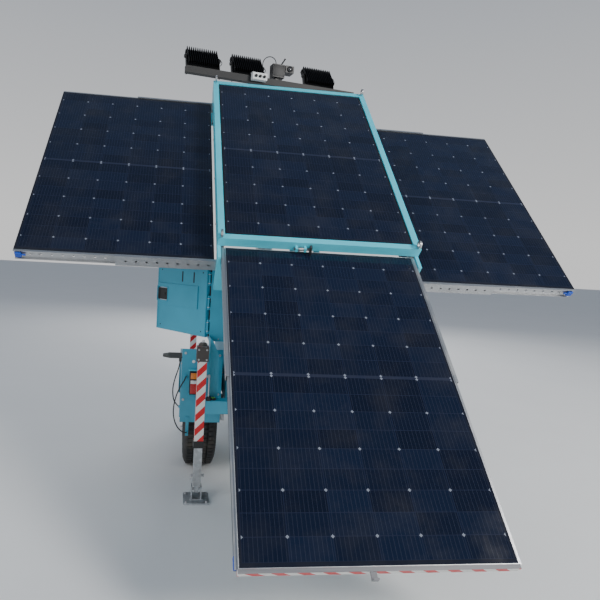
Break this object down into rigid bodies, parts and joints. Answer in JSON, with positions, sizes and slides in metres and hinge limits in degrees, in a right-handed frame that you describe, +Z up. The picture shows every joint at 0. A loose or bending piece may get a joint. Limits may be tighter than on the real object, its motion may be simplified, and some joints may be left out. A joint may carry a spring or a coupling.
{
  "type": "solar lighting tower trailer",
  "caption": "Single-axle trailer with a tilting frame of sliding solar panels, a battery cabinet, corner jacks and a telescopic mast of floodlights.",
  "frame": {"origin": "on the ground under the middle of the whole trailer's box", "axes": "+Z up, +Y towards the tow coupler, +X to the right seen from the tail"},
  "size_m": [3.514, 4.2, 3.4476],
  "materials": {
    "body_paint": "satin blue powder coat",
    "frame_paint": "satin pale blue powder coat",
    "galvanised": "hot-dip galvanised",
    "slide_zinc": "zinc plated",
    "black_rim": "black anodised",
    "silver_rim": "clear anodised",
    "solar_glass": "dark cells under toughened glass",
    "black_metal": "black powder coat",
    "lamp_black": "black cast aluminium",
    "striped": "white with red slanted stripes",
    "tread_plate": "dark textured step",
    "tyre": "rubber",
    "rim_paint": "silver wheel paint",
    "steel": "bright steel",
    "battery_case": "moulded case",
    "lamp_lens": "amber and red lenses",
    "box_plastic": "moulded enclosure",
    "latch_black": "black moulded latch",
    "cable_rubber": "black cable"
  },
  "bodies": {
    "root": {"chassis_frame": "galvanised", "jack_beams": "body_paint", "axle_beam": "galvanised", "drawbar": "galvanised", "tow_coupler": "steel", "battery_box": "body_paint", "batteries": "battery_case", "cabinet_shell": "body_paint", "cabinet_roof": "body_paint", "fenders": "body_paint", "jack_sleeves": "striped", "mast_base": "galvanised", "tail_lamps": "lamp_lens", "side_steps": "tread_plate", "cable_upper": "cable_rubber", "cable_lower": "cable_rubber", "tilt_pivot": "steel"},
    "array": {"array_frame": "frame_paint", "top_module_frame": "black_rim", "top_module_glass": "solar_glass", "slide_outers": "slide_zinc", "lifting_eyes": "steel"},
    "latch_bolt": {"panel_latch": "steel"},
    "left_wing": {"left_module_frame": "black_rim", "left_module_glass": "solar_glass", "left_slide_inners": "slide_zinc"},
    "left_middles": {"left_slide_middles": "slide_zinc"},
    "right_wing": {"right_module_frame": "black_rim", "right_module_glass": "solar_glass", "right_slide_inners": "slide_zinc"},
    "right_middles": {"right_slide_middles": "slide_zinc"},
    "lower_panel": {"lower_module_frame": "silver_rim", "lower_module_glass": "solar_glass", "lower_slide_inners": "slide_zinc", "warning_bar": "striped"},
    "lower_middles": {"lower_slide_middles": "slide_zinc"},
    "actuator_body": {"tilt_actuator_body": "black_metal"},
    "actuator_rod": {"tilt_actuator_rod": "steel"},
    "mast_1": {"mast_section_1": "galvanised"},
    "mast_2": {"mast_section_2": "galvanised"},
    "mast_3": {"mast_section_3": "galvanised"},
    "lamp_head": {"lamp_bar": "black_metal", "head_boxes": "box_plastic", "lamp_cable": "cable_rubber"},
    "lamp_1": {"lamp_1": "lamp_black"},
    "lamp_2": {"lamp_2": "lamp_black"},
    "lamp_3": {"lamp_3": "lamp_black"},
    "left_door": {"left_door": "body_paint"},
    "right_door": {"right_door": "body_paint"},
    "left_latch": {"left_latch": "latch_black"},
    "right_latch": {"right_latch": "latch_black"},
    "left_wheel": {"left_tyre": "tyre", "left_rim": "rim_paint"},
    "right_wheel": {"right_tyre": "tyre", "right_rim": "rim_paint"},
    "coupler_latch": {"coupler_latch": "steel"},
    "leg_front_left": {"jack_leg_front_left": "galvanised"},
    "leg_front_right": {"jack_leg_front_right": "galvanised"},
    "leg_rear_left": {"jack_leg_rear_left": "galvanised"},
    "leg_rear_right": {"jack_leg_rear_right": "galvanised"}
  },
  "joints": [
    {"name": "array_tilt", "type": "hinge", "parent": "root", "child": "array", "pos_m": [0, -0.55001, 1.45], "axis": [1, 0, 0], "range_deg": [-45, 0]},
    {"name": "actuator_swing", "type": "hinge", "parent": "root", "child": "actuator_body", "pos_m": [0, -0.29001, 1.13], "axis": [1, 0, 0], "range_deg": [-26, 0]},
    {"name": "actuator_stroke", "type": "slide", "parent": "actuator_body", "child": "actuator_rod", "axis": [0, 0.0766, 0.9971], "range_m": [-0.265, 0]},
    {"name": "latch_pull", "type": "slide", "parent": "array", "child": "latch_bolt", "axis": [-1, 0, 0], "range_m": [0, 0.015], "stiffness_N_per_m": 300},
    {"name": "left_wing_slide", "type": "slide", "parent": "array", "child": "left_wing", "axis": [1, 0, 0], "range_m": [0, 1.19]},
    {"name": "left_middle_slide", "type": "slide", "parent": "array", "child": "left_middles", "axis": [1, 0, 0], "range_m": [0, 0.595]},
    {"name": "right_wing_slide", "type": "slide", "parent": "array", "child": "right_wing", "axis": [-1, 0, 0], "range_m": [0, 1.19]},
    {"name": "right_middle_slide", "type": "slide", "parent": "array", "child": "right_middles", "axis": [-1, 0, 0], "range_m": [0, 0.595]},
    {"name": "lower_panel_slide", "type": "slide", "parent": "array", "child": "lower_panel", "axis": [0, 0.7071, 0.7071], "range_m": [0, 1.77]},
    {"name": "lower_middle_slide", "type": "slide", "parent": "array", "child": "lower_middles", "axis": [0, 0.7071, 0.7071], "range_m": [0, 0.885]},
    {"name": "mast_lift_1", "type": "slide", "parent": "root", "child": "mast_1", "axis": [0, 0, 1], "range_m": [0, 1.85]},
    {"name": "mast_lift_2", "type": "slide", "parent": "mast_1", "child": "mast_2", "axis": [0, 0, 1], "range_m": [0, 1.85]},
    {"name": "mast_lift_3", "type": "slide", "parent": "mast_2", "child": "mast_3", "axis": [0, 0, 1], "range_m": [0, 1.85]},
    {"name": "head_turn", "type": "hinge", "parent": "mast_3", "child": "lamp_head", "pos_m": [0, 1.23499, 3.1], "axis": [0, 0, 1], "range_deg": [-170, 170]},
    {"name": "lamp_1_tilt", "type": "hinge", "parent": "lamp_head", "child": "lamp_1", "pos_m": [-0.67977, 1.19454, 3.33], "axis": [0.9816, 0.1908, 0], "range_deg": [-52, 38]},
    {"name": "lamp_2_tilt", "type": "hinge", "parent": "lamp_head", "child": "lamp_2", "pos_m": [-0.25276, 1.27754, 3.33], "axis": [0.9816, 0.1908, 0], "range_deg": [-52, 38]},
    {"name": "lamp_3_tilt", "type": "hinge", "parent": "lamp_head", "child": "lamp_3", "pos_m": [0.47364, 1.41874, 3.33], "axis": [0.9816, 0.1908, 0], "range_deg": [-52, 38]},
    {"name": "left_door_hinge", "type": "hinge", "parent": "root", "child": "left_door", "pos_m": [-0.624, -0.49201, 1.2], "axis": [0, 0, 1], "range_deg": [-39, 61]},
    {"name": "right_door_hinge", "type": "hinge", "parent": "root", "child": "right_door", "pos_m": [0.624, -0.49201, 1.2], "axis": [0, 0, 1], "range_deg": [-100, 0]},
    {"name": "left_latch_turn", "type": "hinge", "parent": "left_door", "child": "left_latch", "pos_m": [-0.89614, -0.17581, 1.233], "axis": [0, 0, 1], "range_deg": [0, 35], "stiffness_Nm_per_rad": 0.6},
    {"name": "right_latch_turn", "type": "hinge", "parent": "right_door", "child": "right_latch", "pos_m": [0.6365, -0.07501, 1.233], "axis": [0, 0, -1], "range_deg": [0, 35], "stiffness_Nm_per_rad": 0.6},
    {"name": "left_wheel_spin", "type": "hinge", "parent": "root", "child": "left_wheel", "pos_m": [-0.627, -0.07001, 0.35], "axis": [1, 0, 0], "continuous": true},
    {"name": "right_wheel_spin", "type": "hinge", "parent": "root", "child": "right_wheel", "pos_m": [0.627, -0.07001, 0.35], "axis": [1, 0, 0], "continuous": true},
    {"name": "leg_front_left_slide", "type": "slide", "parent": "root", "child": "leg_front_left", "axis": [0, 0, 1], "range_m": [0, 0.24]},
    {"name": "leg_front_right_slide", "type": "slide", "parent": "root", "child": "leg_front_right", "axis": [0, 0, 1], "range_m": [0, 0.24]},
    {"name": "leg_rear_left_slide", "type": "slide", "parent": "root", "child": "leg_rear_left", "axis": [0, 0, 1], "range_m": [0, 0.24]},
    {"name": "leg_rear_right_slide", "type": "slide", "parent": "root", "child": "leg_rear_right", "axis": [0, 0, 1], "range_m": [0, 0.24]},
    {"name": "coupler_latch_lift", "type": "hinge", "parent": "root", "child": "coupler_latch", "pos_m": [0, 2.04499, 0.556], "axis": [-1, 0, 0], "range_deg": [0, 60]}
  ],
  "couplings": [
    {"joint": "actuator_swing", "follows": "array_tilt", "ratio": 0.551},
    {"joint": "actuator_stroke", "follows": "array_tilt", "m_per_rad": 0.33095},
    {"joint": "left_middle_slide", "follows": "left_wing_slide", "ratio": 0.5},
    {"joint": "right_middle_slide", "follows": "right_wing_slide", "ratio": 0.5},
    {"joint": "lower_middle_slide", "follows": "lower_panel_slide", "ratio": 0.5},
    {"joint": "mast_lift_2", "follows": "mast_lift_1", "ratio": 1},
    {"joint": "mast_lift_3", "follows": "mast_lift_1", "ratio": 1}
  ]
}
